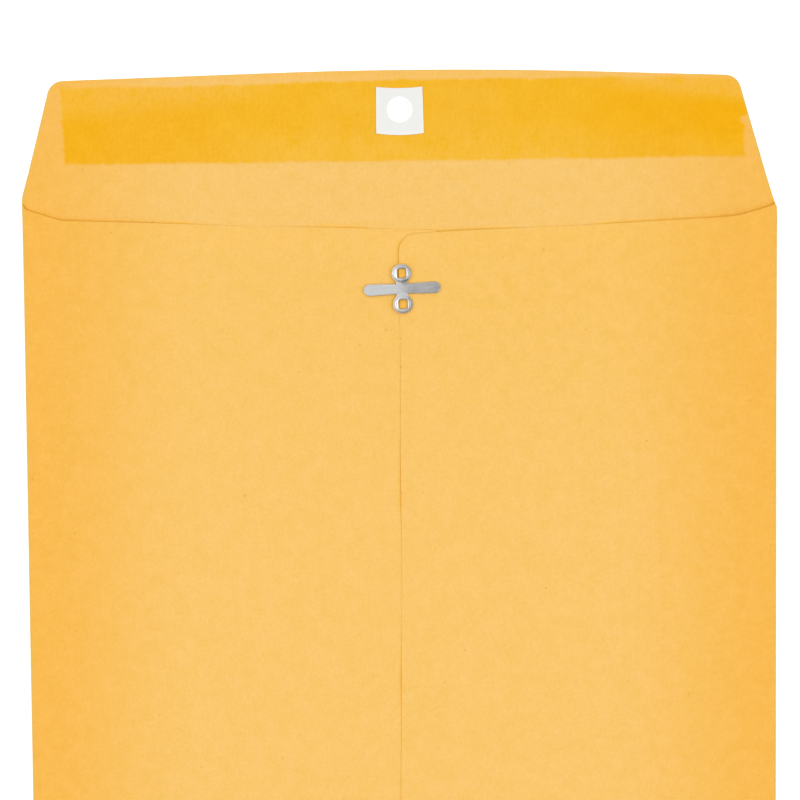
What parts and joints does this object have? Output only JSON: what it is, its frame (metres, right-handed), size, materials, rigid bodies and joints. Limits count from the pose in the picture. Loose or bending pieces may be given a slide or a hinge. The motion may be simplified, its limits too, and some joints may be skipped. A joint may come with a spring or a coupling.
{
  "type": "clasp envelope",
  "caption": "Open-end kraft paper envelope with a centre seam, a gummed seal flap with a reinforced hole, and a metal clasp whose prongs bend up through the hole to hold the flap shut.",
  "frame": {"origin": "centre of the front panel's outer face, between the side folds and midway from the bottom fold to the flap score", "axes": "+X across the envelope, +Y from the bottom fold towards the seal flap, +Z out of the back, where the clasp is"},
  "size_m": [0.2286, 0.3439, 0.0022],
  "materials": {
    "kraft_paper": "golden brown kraft paper, matt, with fine fibre flecks",
    "seal_gum": "dried remoistenable gum, thin and clear, deepening the paper's colour",
    "patch_paper": "white reinforcing paper",
    "dried_glue": "dried seam glue",
    "tinned_steel": "bright tinned steel strip, pressed"
  },
  "bodies": {
    "pocket": {"front_panel": "kraft_paper", "left_side_fold": "kraft_paper", "right_side_fold": "kraft_paper", "left_back_panel": "kraft_paper", "right_back_panel": "kraft_paper", "bottom_fold": "kraft_paper", "bottom_flap": "kraft_paper", "seam_glue": "dried_glue", "bottom_flap_glue": "dried_glue", "clasp_base": "tinned_steel"},
    "flap": {"seal_flap": "kraft_paper", "seal_gum": "seal_gum", "flap_patch": "patch_paper"},
    "left_prong": {"clasp_left_prong": "tinned_steel"},
    "right_prong": {"clasp_right_prong": "tinned_steel"}
  },
  "joints": [
    {"name": "flap_hinge", "type": "hinge", "parent": "pocket", "child": "flap", "pos_m": [0, 0.1524, 0.00082], "axis": [1, 0, 0], "range_deg": [0, 176.5]},
    {"name": "left_prong_bend", "type": "hinge", "parent": "pocket", "child": "left_prong", "pos_m": [-0.0013, 0.12521, 0.00164], "axis": [-0.0454, 0.999, 0], "range_deg": [0, 90]},
    {"name": "right_prong_bend", "type": "hinge", "parent": "pocket", "child": "right_prong", "pos_m": [0.0025, 0.12539, 0.00164], "axis": [0.0454, -0.999, 0], "range_deg": [0, 90]}
  ]
}
